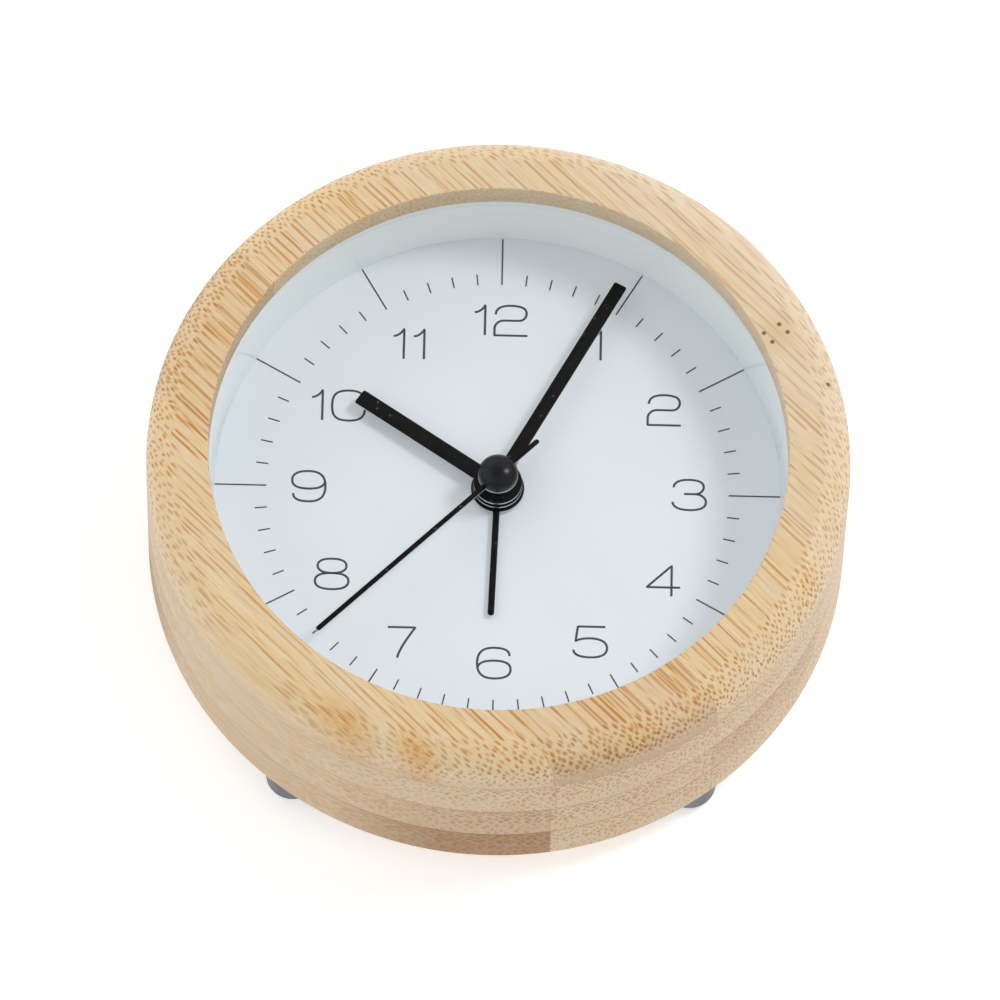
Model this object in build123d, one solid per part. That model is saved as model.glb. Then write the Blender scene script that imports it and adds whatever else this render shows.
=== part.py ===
from build123d import *
from math import atan2, cos, degrees, hypot, radians, sin
import os

os.makedirs("parts", exist_ok=True)

# The clock lies on its back: +Z out of the dial, +Y to 12 o'clock, +X to 3 o'clock, z = 0 under the feet.

# Bamboo case
case_diameter = 105.0
rim_width = 9.3
shoulder_width = 1.0
lip_depth = 4.2
front_round = 4.5
front_round_chords = 3

# Rubber feet on the back rim
foot_diameter = 8.0
foot_height = 5.5
foot_angle = 38.0

# Lens, spacer ring and dial
lens_thickness = 1.8
lens_clearance = 1.05
lens_rim = 0.5
ring_taper = 0.7
dial_thickness = 0.8
seat_clearance = 0.1

# Hands: angles run clockwise from 12, lengths from the axis, gaps from tip to ring,
# steps from one underside to the next
hand_thickness = 0.4
alarm_hand_rise = 0.5
hour_hand_step = 1.1
minute_hand_step = 1.0
second_hand_step = 2.45
alarm_hand_angle = 181.7
alarm_hand_length = 21.2
alarm_hand_width = 0.9
alarm_hub_diameter = 8.0
hour_hand_angle = 304.2
hour_hand_length = 25.5
hour_hand_width = 2.1
hour_hub_diameter = 7.5
minute_hand_angle = 28.1
minute_tip_gap = 4.4
minute_hand_width = 1.8
minute_hub_diameter = 7.3
second_hand_angle = 225.1
second_tip_gap = 5.2
second_hand_tail = 7.6
second_hand_width = 0.8
cap_diameter = 6.0
cap_height = 2.5
cap_edge = 0.4
cap_round_chords = 2

# Rear cover
cover_recess = 0.5
cover_thickness = 1.6
movement_clearance = 0.3
post_width = 5.0
screw_diameter = 2.2
screw_head_diameter = 4.6
screw_head_height = 1.0
screw_length = 8.0
screw_directions = (0, 180)

# Movement: walls, plates and the layers of wheels
movement_corner = 5.0
movement_flange = 0.8
case_wall = 1.6
floor_thickness = 1.4
window_clearance = 0.3
front_plate_thickness = 1.2
train_plate_thickness = 0.8
train_plate_clearance = 0.4
train_plate_corner = 1.7
pillar_width = 3.0
pillar_inset = 2.6
wheel_thickness = 1.0
layer_gap = 0.45

# Running fits
running_clearance = 0.06
pivot_depth = 0.7
arbor_diameter = 1.0
pipe_wall = 0.6
minute_post_diameter = 1.1

# Tooth form in modules
addendum = 0.7
dedendum = 1.4
tooth_tip = 0.4

# Tooth counts: rotor to seconds 30:1, seconds to centre 60:1, centre to hour 12:1
rotor_pinion_teeth = 6
intermediate_teeth = 30
intermediate_pinion_teeth = 6
seconds_teeth = 36
seconds_pinion_teeth = 6
third_teeth = 45
third_pinion_teeth = 6
centre_teeth = 48
cannon_teeth = 8
minute_teeth = 24
minute_pinion_teeth = 6
hour_teeth = 24
time_pinion_teeth = 12
alarm_teeth = 24
alarm_pinion_teeth = 8

# Arbor places: distances from the wheel they mesh with, angles anticlockwise from 3 o'clock
train_distance = 10.0
third_direction = 155.0
intermediate_direction = 40.0
rotor_distance = 7.2
rotor_direction = 65.0
minute_distance = 8.0
minute_direction = 210.0
time_direction = 200.0

# Setting knobs and alarm switch
shaft_diameter = 3.0
knob_diameter = 12.0
knob_ridges = 18
ridge_depth = 0.5
knob_height = 3.2
knob_gap = 0.4
knob_web = 0.8
switch_travel = 4.0
switch_nub = 3.0
switch_height = 1.8
switch_edge = 0.5
switch_stem = 1.6
switch_foot = 6.0
switch_foot_thickness = 1.0
slide_clearance = 0.2

# Stepping motor
magnet_diameter = 5.0
magnet_overhang = 0.5
stator_thickness = 0.8
stator_gap = 0.5
stator_rim = 2.6
stator_clearance = 0.3
stator_arm = 4.0
coil_middle = 4.0
coil_diameter = 4.8
coil_flange = 0.8
coil_flange_step = 0.2
coil_length = 17.0
coil_end_gap = 0.5
coil_gap = 0.35
coil_top_gap = 1.3
core_width = 2.2

# Electronics and alarm
board_width = 8.6
board_length = 22.0
board_gap = 0.3
board_pillar_gap = 1.3
board_thickness = 0.8
board_post = 2.0
crystal_diameter = 2.0
crystal_length = 6.0
buzzer_diameter = 16.0
buzzer_thickness = 0.5
buzzer_margin = 2.4
sound_slits = 3
sound_slit_width = 1.0
sound_slit_length = 8.0
sound_slit_pitch = 2.5
contact_strip = 0.2
contact_width = 2.5
contact_reach = 1.4

# Battery, its contacts and door
cell_diameter = 14.2
cell_length = 49.3
cell_nub_diameter = 5.4
cell_nub_length = 1.0
cell_clearance = 0.2
cell_end_room = 2.95
cell_dial_gap = 0.35
door_thickness = 1.0
door_gap = 0.15
door_clearance = 0.25
door_hinge_edge = 0.3
hinge_pin_diameter = 0.6
hinge_pin_length = 0.9
door_notch = 8.0
door_notch_depth = 1.6
leaf_thickness = 0.4
leaf_height = 8.0
leaf_length = 6.5
leaf_pad = 2.0

# Radii and levels that follow from the sizes above
case_radius = case_diameter / 2
opening_radius = case_radius - rim_width
dial_edge_radius = opening_radius - ring_taper
minute_hand_length = dial_edge_radius - minute_tip_gap
second_hand_length = dial_edge_radius - second_tip_gap
arbor_radius = arbor_diameter / 2
minute_pipe_radius = arbor_radius + running_clearance + pipe_wall
hour_pipe_radius = minute_pipe_radius + running_clearance + pipe_wall
alarm_pipe_radius = hour_pipe_radius + running_clearance + pipe_wall
shaft_radius = shaft_diameter / 2

rear_layers = 2
front_layers = 5
layer_pitch = wheel_thickness + layer_gap
coil_reach = coil_diameter / 2 + coil_flange_step
coil_lift = coil_reach + coil_gap / 2
motor_depth = coil_lift + stator_thickness / 2 + stator_thickness + layer_gap
rear_depth = max(rear_layers * layer_pitch + layer_gap, motor_depth)
train_depth = rear_depth + front_layers * layer_pitch + layer_gap + train_plate_thickness
cell_depth = door_thickness + door_gap + cell_diameter + cell_dial_gap
movement_depth = max(cell_depth, floor_thickness + train_depth + front_plate_thickness)

back_z = foot_height
rear_z = back_z + cover_recess
dial_back_z = rear_z + movement_depth
dial_z = dial_back_z + dial_thickness
alarm_hand_z = dial_z + alarm_hand_rise
hour_hand_z = alarm_hand_z + hour_hand_step
minute_hand_z = hour_hand_z + minute_hand_step
second_hand_z = minute_hand_z + second_hand_step
cap_z = second_hand_z + hand_thickness
lens_z = cap_z + cap_height + lens_clearance
shoulder_z = lens_z + lens_thickness
front_z = shoulder_z + lip_depth

cover_inner_z = rear_z + cover_thickness
floor_z = rear_z + floor_thickness
plate_z = dial_back_z - front_plate_thickness
alarm_z = plate_z - layer_pitch
hour_z = alarm_z - layer_pitch
minute_z = hour_z - layer_pitch
train_plate_z = minute_z - layer_gap - train_plate_thickness
centre_z = train_plate_z - layer_pitch
third_z = centre_z - layer_pitch
seconds_z = third_z - layer_pitch
intermediate_z = seconds_z - layer_pitch
pivot_z = floor_z - pivot_depth


def polar(radius, angle, start=(0, 0)):
    return (
        start[0] + radius * cos(radians(angle)),
        start[1] + radius * sin(radians(angle)),
    )


def direction_to(target, start=(0, 0)):
    return degrees(atan2(target[1] - start[1], target[0] - start[0]))


# Modules follow from each centre distance and its two tooth counts
def module_for(distance, teeth, partner_teeth):
    return 2 * distance / (teeth + partner_teeth)


centre = (0, 0)
third_at = polar(train_distance, third_direction)
intermediate_at = polar(train_distance, intermediate_direction)
rotor_at = polar(rotor_distance, rotor_direction, intermediate_at)
minute_at = polar(minute_distance, minute_direction)
motion_module = module_for(minute_distance, cannon_teeth, minute_teeth)
hour_module = module_for(minute_distance, minute_pinion_teeth, hour_teeth)
time_distance = motion_module * (minute_teeth + time_pinion_teeth) / 2
time_at = polar(time_distance, time_direction, minute_at)
alarm_at = (-time_at[0], time_at[1])
rotor_module = module_for(rotor_distance, rotor_pinion_teeth, intermediate_teeth)
seconds_module = module_for(train_distance, intermediate_pinion_teeth, seconds_teeth)
third_module = module_for(train_distance, seconds_pinion_teeth, third_teeth)
centre_module = module_for(train_distance, third_pinion_teeth, centre_teeth)
alarm_module = module_for(hypot(*alarm_at), alarm_teeth, alarm_pinion_teeth)


# Outer radius of a wheel's teeth
def tip_radius(teeth, module):
    return module * (teeth / 2 + addendum)


# Stepping motor between the seconds wheel and the movement's top wall
rotor_hole = magnet_diameter / 2 + stator_gap
stator_low_y = tip_radius(seconds_teeth, seconds_module) + stator_clearance
stator_high_y = rotor_at[1] + rotor_hole + stator_rim
coil_y = stator_high_y + coil_gap + coil_reach
coil_axis_z = max(seconds_z + wheel_thickness / 2 - stator_thickness, floor_z + coil_lift)
core_z = coil_axis_z - stator_thickness / 2
stator_z = core_z + stator_thickness
coil_span = coil_length + 2 * (stator_arm + coil_end_gap)
coil_left = coil_middle - coil_span / 2
coil_right = coil_middle + coil_span / 2

# Battery bay under the wheels, towards 6 o'clock
alarm_pinion_bottom = alarm_at[1] - tip_radius(alarm_pinion_teeth, alarm_module)
wheels_bottom = min(alarm_pinion_bottom, -tip_radius(alarm_teeth, alarm_module))
bay_top = wheels_bottom - layer_gap - case_wall
bay_bottom = bay_top - cell_diameter - 2 * cell_clearance
cell_y = (bay_top + bay_bottom) / 2
cell_z = rear_z + door_thickness + door_gap + cell_diameter / 2
cell_half = (cell_length + cell_nub_length) / 2
door_half = cell_half + 2 * cell_clearance

# Movement's outline, and the bore that takes it
movement_bottom = bay_bottom - case_wall
movement_top = coil_y + coil_reach + coil_top_gap + case_wall
inner_half = cell_half + cell_end_room
half_width = inner_half + case_wall
room_bottom = bay_top + case_wall
room_top = movement_top - case_wall
corner_x = half_width - movement_corner
corner_y = max(movement_top, -movement_bottom) - movement_corner
movement_reach = hypot(corner_x, corner_y) + movement_corner
bore_radius = opening_radius + shoulder_width
seat_radius = bore_radius - seat_clearance
lens_seat_radius = seat_radius - lens_rim
rear_bore_radius = max(bore_radius, movement_reach + movement_clearance)
cover_radius = rear_bore_radius - seat_clearance
foot_radius = (case_radius + rear_bore_radius) / 2
screw_radius = (half_width + cover_radius) / 2


# Solids stand on their lower end
standing = (Align.CENTER, Align.CENTER, Align.MIN)


def disc(radius, low, high, at=(0, 0)):
    return Pos(at[0], at[1], low) * Cylinder(radius, high - low, align=standing)


def tube(outer, inner, low, high, at=(0, 0)):
    return disc(outer, low, high, at) - disc(inner, low, high, at)


def block(left, right, bottom, top, low, high):
    return Pos(left, bottom, low) * Box(right - left, top - bottom, high - low, align=(Align.MIN,) * 3)


def rounded_block(left, right, bottom, top, low, high, corner):
    box = block(left, right, bottom, top, low, high)
    return fillet(box.edges().filter_by(Axis.Z), corner)


def running_hole(radius, low, high, at=(0, 0)):
    return disc(radius + running_clearance, low, high, at)


# Points of a quarter round from a wall of this radius up to a flat end
def quarter_round(radius, end, size, chords):
    turns = [90 * step / chords for step in range(chords + 1)]
    return [(radius - size + size * cos(radians(t)), end - size * (1 - sin(radians(t)))) for t in turns]


# A solid turned from its outline of radius and height
def turned(outline):
    return revolve(make_face(Plane.XZ * Polyline(*outline, close=True)), Axis.Z)


# A ring of straight-flanked teeth, with the middle of one tooth at the phase angle
def toothed(teeth, module, phase, low, high, at=(0, 0)):
    root = module * (teeth / 2 - dedendum)
    tip = tip_radius(teeth, module)
    pitch = 360 / teeth
    tip_half = degrees(tooth_tip * module / 2 / tip)
    corners = []
    for tooth in range(teeth):
        middle = phase + tooth * pitch
        corners.append(polar(root, middle - pitch / 2))
        corners.append(polar(tip, middle - tip_half))
        corners.append(polar(tip, middle + tip_half))
    outline = make_face(Polyline(*corners, close=True))
    return Pos(at[0], at[1], low) * extrude(outline, high - low)


# The phase that lays the partner's gap on this wheel's tooth, seen along the line of centres
def meshing_phase(teeth, phase, partner_teeth, direction):
    return direction + 180 - teeth / partner_teeth * (phase - direction) - 180 / partner_teeth


def wheel_at(teeth, module, phase, low, at=(0, 0)):
    return toothed(teeth, module, phase, low, low + wheel_thickness, at)


def bamboo_case():
    side = quarter_round(case_radius, front_z, front_round, front_round_chords)
    body = turned([(opening_radius, back_z), (case_radius, back_z), *side, (opening_radius, front_z)])
    body -= disc(bore_radius, back_z, shoulder_z)
    return body - disc(rear_bore_radius, back_z, dial_back_z)


def rubber_feet():
    foot = disc(foot_diameter / 2, 0, foot_height)
    angles = [side + turn for side in (90, 270) for turn in (-foot_angle, foot_angle)]
    return Compound(children=[Pos(*polar(foot_radius, angle), 0) * foot for angle in angles])


def lens():
    return disc(lens_seat_radius - seat_clearance, lens_z, shoulder_z)


# Tapered ring with a thin rim that takes the lens
def spacer_ring():
    height = lens_z - dial_z
    well = Pos(0, 0, dial_z) * Cone(dial_edge_radius, opening_radius, height, align=standing)
    lens_seat = disc(lens_seat_radius, lens_z, shoulder_z)
    return disc(seat_radius, dial_z, shoulder_z) - [well, lens_seat]


def screw_places():
    return [polar(screw_radius, direction) for direction in screw_directions]


# Printed disc with square posts on its back that take the cover's screws
def dial():
    plate = tube(seat_radius, alarm_pipe_radius + seat_clearance, dial_back_z, dial_z)
    half = post_width / 2
    for place in screw_places():
        plate += Pos(*place, 0) * block(-half, half, -half, half, cover_inner_z, dial_back_z)
        plate -= disc(screw_diameter / 2, rear_z, rear_z + screw_length, place)
    return plate


def movement_outline(low, high, inset, corner):
    half = half_width - inset
    return rounded_block(-half, half, movement_bottom + inset, movement_top - inset, low, high, corner)


def rear_cover():
    cover = disc(cover_radius, rear_z, cover_inner_z)
    inset = movement_flange - window_clearance
    cover -= movement_outline(rear_z, cover_inner_z, inset, movement_corner - inset)
    for place in screw_places():
        cover -= disc(screw_diameter / 2 + seat_clearance, rear_z, cover_inner_z, place)
    return cover


def cover_screws():
    screws = []
    for place in screw_places():
        head = disc(screw_head_diameter / 2, rear_z - screw_head_height, rear_z, place)
        screws.append(head + disc(screw_diameter / 2, rear_z, rear_z + screw_length, place))
    return Compound(children=screws)


# Pivots of the train that turn in the rear wall and in the train plate
train_places = [third_at, intermediate_at, rotor_at]
shaft_places = [time_at, alarm_at]
pillar_x = inner_half - pillar_inset
pillar_places = [
    (side * pillar_x, height)
    for side in (-1, 1)
    for height in (room_bottom + pillar_inset, room_top - pillar_inset)
]

# Circuit board beside the train, over the alarm switch
board_left = inner_half - train_plate_clearance - board_width
board_right = board_left + board_width
board_top = room_top - pillar_inset - pillar_width / 2 - board_pillar_gap
board_bottom = board_top - board_length
board_z = floor_z + slide_clearance + switch_foot_thickness + board_gap
board_middle = (board_left + board_right) / 2
board_posts = [
    (board_right - board_post, board_bottom + board_post),
    (board_left + board_post, board_top - board_post),
]
switch_x = board_middle
switch_y = (board_bottom + board_top - switch_travel) / 2
buzzer_x = buzzer_margin + buzzer_diameter / 2 - inner_half
buzzer_y = room_top - buzzer_margin - buzzer_diameter / 2


def battery_window():
    reach = door_half + door_clearance
    return block(-reach, reach, bay_bottom, bay_top, rear_z, cover_inner_z)


hinge_y = bay_bottom + door_clearance + door_thickness / 2
hinge_z = rear_z + door_thickness / 2


# A rod on the hinge line of the battery door
def hinge_rod(radius, reach):
    line = Plane(origin=(-reach, hinge_y, hinge_z), x_dir=(0, 1, 0), z_dir=(1, 0, 0))
    return line * Cylinder(radius, 2 * reach, align=standing)


def switch_slot():
    half = switch_stem / 2 + slide_clearance
    return block(
        switch_x - half, switch_x + half, switch_y - half, switch_y + switch_travel + half, rear_z, floor_z
    )


def sound_openings():
    half = sound_slit_length / 2
    slit = block(-half, half, -sound_slit_width / 2, sound_slit_width / 2, rear_z, floor_z)
    rows = [(row - (sound_slits - 1) / 2) * sound_slit_pitch for row in range(sound_slits)]
    return [Pos(buzzer_x, buzzer_y + row, 0) * slit for row in rows]


# A square pillar that stands on the rear wall
def pillar(width, top, at):
    half = width / 2
    return Pos(*at, 0) * block(-half, half, -half, half, floor_z, top)


def rear_case():
    step_z = cover_inner_z
    shell = movement_outline(step_z, plate_z, 0, movement_corner)
    shell += movement_outline(rear_z, step_z, movement_flange, movement_corner - movement_flange)
    room = rounded_block(
        -inner_half, inner_half, room_bottom, room_top, floor_z, plate_z, movement_corner - case_wall
    )
    bay = block(-inner_half, inner_half, bay_bottom, bay_top, step_z, plate_z)
    shell -= [room, bay, battery_window(), switch_slot(), *sound_openings()]
    pin_reach = door_half + hinge_pin_length + running_clearance
    shell -= hinge_rod(hinge_pin_diameter / 2 + running_clearance, pin_reach)
    for place in pillar_places:
        shell += pillar(pillar_width, train_plate_z, place)
    for place in board_posts:
        shell += pillar(board_post, board_z, place)
    for place in [centre, *train_places]:
        shell -= running_hole(arbor_radius, pivot_z - layer_gap / 2, floor_z, place)
    for place in shaft_places:
        shell -= running_hole(shaft_radius, rear_z, floor_z, place)
    return shell


def front_plate():
    plate = movement_outline(plate_z, dial_back_z, 0, movement_corner)
    plate -= block(-cell_half, cell_half, bay_bottom, bay_top, plate_z, dial_back_z)
    return plate - running_hole(alarm_pipe_radius, plate_z, dial_back_z)


def train_plate():
    top_z = train_plate_z + train_plate_thickness
    side = inner_half - train_plate_clearance
    bottom = room_bottom + train_plate_clearance
    plate = block(-side, side, bottom, room_top - train_plate_clearance, train_plate_z, top_z)
    plate = chamfer(plate.edges().filter_by(Axis.Z), train_plate_corner)
    plate += disc(minute_post_diameter / 2, top_z, hour_z + wheel_thickness, minute_at)
    plate -= running_hole(minute_pipe_radius, train_plate_z, top_z)
    for place in train_places:
        plate -= running_hole(arbor_radius, train_plate_z, top_z, place)
    for place in shaft_places:
        plate -= running_hole(shaft_radius, train_plate_z, top_z, place)
    return plate - contact_slot(train_plate_z, top_z)


# Going train: each wheel takes its phase from the pinion or wheel that it meshes with
rotor_phase = rotor_direction + 180
intermediate_phase = meshing_phase(
    rotor_pinion_teeth, rotor_phase, intermediate_teeth, direction_to(intermediate_at, rotor_at)
)
seconds_phase = meshing_phase(
    intermediate_pinion_teeth, intermediate_direction, seconds_teeth, intermediate_direction + 180
)
third_phase = meshing_phase(seconds_pinion_teeth, third_direction, third_teeth, third_direction)
centre_phase = meshing_phase(third_pinion_teeth, third_direction, centre_teeth, third_direction + 180)
minute_phase = meshing_phase(cannon_teeth, minute_direction, minute_teeth, minute_direction)
hour_phase = meshing_phase(minute_pinion_teeth, minute_direction, hour_teeth, minute_direction + 180)
time_phase = meshing_phase(minute_teeth, minute_phase, time_pinion_teeth, time_direction)
alarm_direction = direction_to(alarm_at)
alarm_pinion_phase = meshing_phase(alarm_teeth, 0, alarm_pinion_teeth, alarm_direction)
arbor_top_z = train_plate_z + train_plate_thickness - layer_gap / 4


def rotor():
    magnet_top = seconds_z + wheel_thickness + magnet_overhang
    piece = disc(arbor_radius, pivot_z, arbor_top_z, rotor_at)
    piece += wheel_at(rotor_pinion_teeth, rotor_module, rotor_phase, intermediate_z, rotor_at)
    return piece + disc(magnet_diameter / 2, seconds_z, magnet_top, rotor_at)


def intermediate_wheel():
    piece = disc(arbor_radius, pivot_z, arbor_top_z, intermediate_at)
    piece += wheel_at(intermediate_teeth, rotor_module, intermediate_phase, intermediate_z, intermediate_at)
    return piece + toothed(
        intermediate_pinion_teeth, seconds_module, intermediate_direction,
        intermediate_z, seconds_z + wheel_thickness, intermediate_at,
    )


def seconds_wheel():
    piece = disc(arbor_radius, pivot_z, second_hand_z + hand_thickness)
    piece += wheel_at(seconds_teeth, seconds_module, seconds_phase, seconds_z)
    return piece + toothed(
        seconds_pinion_teeth, third_module, third_direction, seconds_z, third_z + wheel_thickness
    )


def third_wheel():
    piece = disc(arbor_radius, pivot_z, arbor_top_z, third_at)
    piece += wheel_at(third_teeth, third_module, third_phase, third_z, third_at)
    return piece + toothed(
        third_pinion_teeth, centre_module, third_direction, third_z, centre_z + wheel_thickness, third_at
    )


def centre_wheel():
    piece = disc(minute_pipe_radius, centre_z, minute_hand_z + hand_thickness)
    piece += wheel_at(centre_teeth, centre_module, centre_phase, centre_z)
    piece += wheel_at(cannon_teeth, motion_module, minute_direction, minute_z)
    return piece - running_hole(arbor_radius, centre_z, minute_hand_z + hand_thickness)


def minute_wheel():
    piece = wheel_at(minute_teeth, motion_module, minute_phase, minute_z, minute_at)
    piece += toothed(
        minute_pinion_teeth, hour_module, minute_direction, minute_z, hour_z + wheel_thickness, minute_at
    )
    return piece - running_hole(minute_post_diameter / 2, minute_z, hour_z + wheel_thickness, minute_at)


def hour_wheel():
    piece = disc(hour_pipe_radius, hour_z, hour_hand_z + hand_thickness)
    piece += wheel_at(hour_teeth, hour_module, hour_phase, hour_z)
    return piece - running_hole(minute_pipe_radius, hour_z, hour_hand_z + hand_thickness)


def alarm_wheel():
    piece = disc(alarm_pipe_radius, alarm_z, alarm_hand_z + hand_thickness)
    piece += wheel_at(alarm_teeth, alarm_module, 0, alarm_z)
    return piece - running_hole(hour_pipe_radius, alarm_z, alarm_hand_z + hand_thickness)


knob_top_z = rear_z - knob_gap
knob_low_z = knob_top_z - knob_height


def setting_arbor(teeth, module, phase, low, at):
    shaft = disc(shaft_radius, knob_low_z + knob_web, low + wheel_thickness, at)
    return shaft + wheel_at(teeth, module, phase, low, at)


# Knob with a ridged rim, blind on its arbor
def setting_knob(at):
    rim = knob_diameter / 2
    points = 2 * knob_ridges
    corners = [polar(rim - ridge_depth * (point % 2), 360 * point / points, at) for point in range(points)]
    knob = Pos(0, 0, knob_low_z) * extrude(make_face(Polyline(*corners, close=True)), knob_height)
    return knob - disc(shaft_radius, knob_low_z + knob_web, knob_top_z, at)


def alarm_switch():
    nub_top = rear_z - slide_clearance
    half_nub = switch_nub / 2
    nub = block(-half_nub, half_nub, -half_nub, half_nub, nub_top - switch_height, nub_top)
    nub = chamfer(nub.faces().sort_by(Axis.Z)[0].edges(), switch_edge)
    half_stem = switch_stem / 2
    foot_z = floor_z + slide_clearance
    stem = block(-half_stem, half_stem, -half_stem, half_stem, nub_top, foot_z)
    half_foot = switch_foot / 2
    foot = block(-half_foot, half_foot, -half_foot, half_foot, foot_z, foot_z + switch_foot_thickness)
    return Pos(switch_x, switch_y, 0) * (nub + stem + foot)


def stator():
    top_z = stator_z + stator_thickness
    arm_top = coil_y + stator_arm / 2
    plate = block(coil_left, coil_right, stator_low_y, stator_high_y, stator_z, top_z)
    plate += block(coil_left, coil_left + stator_arm, stator_low_y, arm_top, stator_z, top_z)
    plate += block(coil_right - stator_arm, coil_right, stator_low_y, arm_top, stator_z, top_z)
    return plate - disc(rotor_hole, stator_z, top_z, rotor_at)


def core_block(low, high, clearance, left, right):
    half = core_width / 2 + clearance
    return block(left, right, coil_y - half, coil_y + half, low - clearance, high + clearance)


def coil_core():
    return core_block(core_z, stator_z, 0, coil_left, coil_right)


# Winding between two square flanges
def coil():
    left = coil_middle - coil_length / 2
    axis = Plane(origin=(left, coil_y, coil_axis_z), x_dir=(0, 1, 0), z_dir=(1, 0, 0))
    winding = axis * Cylinder(coil_diameter / 2, coil_length, align=standing)
    flange = block(
        left, left + coil_flange, coil_y - coil_reach, coil_y + coil_reach,
        coil_axis_z - coil_reach, coil_axis_z + coil_reach,
    )
    winding += [flange, Pos(coil_length - coil_flange, 0, 0) * flange]
    return winding - core_block(core_z, stator_z, running_clearance, coil_left, coil_right)


def circuit_board():
    return block(board_left, board_right, board_bottom, board_top, board_z, board_z + board_thickness)


def quartz_crystal():
    low = board_top - crystal_length - board_post
    place = Plane(
        origin=(board_right - board_post, low, board_z + board_thickness + crystal_diameter / 2),
        x_dir=(1, 0, 0),
        z_dir=(0, 1, 0),
    )
    return place * Cylinder(crystal_diameter / 2, crystal_length, align=standing)


def buzzer():
    return disc(buzzer_diameter / 2, floor_z, floor_z + buzzer_thickness, (buzzer_x, buzzer_y))


contact_z = (minute_z + wheel_thickness + hour_z) / 2 - contact_strip / 2
hour_tip = tip_radius(hour_teeth, hour_module)


def contact_slot(low, high):
    return block(
        board_middle - slide_clearance,
        board_middle + contact_strip + slide_clearance,
        -contact_width / 2 - slide_clearance,
        contact_width / 2 + slide_clearance,
        low,
        high,
    )


def alarm_contact():
    half = contact_width / 2
    right = board_middle + contact_strip
    tip = hour_tip - contact_reach
    leg = block(board_middle, right, -half, half, board_z + board_thickness, contact_z)
    arm = block(tip, right, -half, half, contact_z, contact_z + contact_strip)
    return leg + arm


def battery():
    cell_axis = Plane(origin=(-cell_half, cell_y, cell_z), x_dir=(0, 1, 0), z_dir=(1, 0, 0))
    cell = cell_axis * Cylinder(cell_diameter / 2, cell_length, align=standing)
    nub = cell_axis * Cylinder(cell_nub_diameter / 2, cell_length + cell_nub_length, align=standing)
    return cell + nub


# A sprung strip, anchored on the bay's end wall and bent out to the end of the cell
def cell_contact(side):
    wall = inner_half - leaf_thickness / 2
    touch = cell_half + leaf_thickness / 2
    half = leaf_length / 2
    route = Polyline(
        (side * wall, cell_y + half),
        (side * wall, cell_y - half),
        (side * touch, cell_y - leaf_pad / 2),
        (side * touch, cell_y + leaf_pad / 2),
        (side * (wall + touch) / 2, cell_y + half),
    )
    strip = extrude(trace(route, leaf_thickness), leaf_height)
    return Pos(0, 0, cell_z - leaf_height / 2) * strip


# Door with a bevelled hinge edge towards 6 o'clock and a thumb notch on the other
def battery_door():
    low_y = bay_bottom + door_clearance
    high_y = bay_top - door_clearance
    door = block(-door_half, door_half, low_y, high_y, rear_z, rear_z + door_thickness)
    hinge_edges = door.edges().filter_by(Axis.X).group_by(Axis.Y)[0]
    door = chamfer(hinge_edges, door_hinge_edge)
    door += hinge_rod(hinge_pin_diameter / 2, door_half + hinge_pin_length)
    half = door_notch / 2
    notch = block(-half, half, high_y - door_notch_depth, high_y, rear_z, rear_z + door_thickness / 2)
    return door - notch


# A flat stamped hand along +Y, turned clockwise to its place
def hand(outline, hub_diameter, bore, low, angle):
    sheet = outline + Circle(hub_diameter / 2) - Circle(bore)
    return Rot(0, 0, -angle) * Pos(0, 0, low) * extrude(sheet, hand_thickness)


def blade(width, length, tail=0.0):
    return Pos(0, (length - tail) / 2) * Rectangle(width, length + tail)


def alarm_hand():
    outline = blade(alarm_hand_width, alarm_hand_length)
    return hand(outline, alarm_hub_diameter, alarm_pipe_radius, alarm_hand_z, alarm_hand_angle)


def hour_hand():
    outline = blade(hour_hand_width, hour_hand_length)
    return hand(outline, hour_hub_diameter, hour_pipe_radius, hour_hand_z, hour_hand_angle)


def minute_hand():
    outline = blade(minute_hand_width, minute_hand_length)
    return hand(outline, minute_hub_diameter, minute_pipe_radius, minute_hand_z, minute_hand_angle)


def second_hand():
    outline = blade(second_hand_width, second_hand_length, second_hand_tail)
    return hand(outline, cap_diameter, arbor_radius, second_hand_z, second_hand_angle)


def hand_cap():
    top = cap_z + cap_height
    side = quarter_round(cap_diameter / 2, top, cap_height - cap_edge, cap_round_chords)
    return turned([(0, cap_z), (cap_diameter / 2, cap_z), *side, (0, top)])


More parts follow.
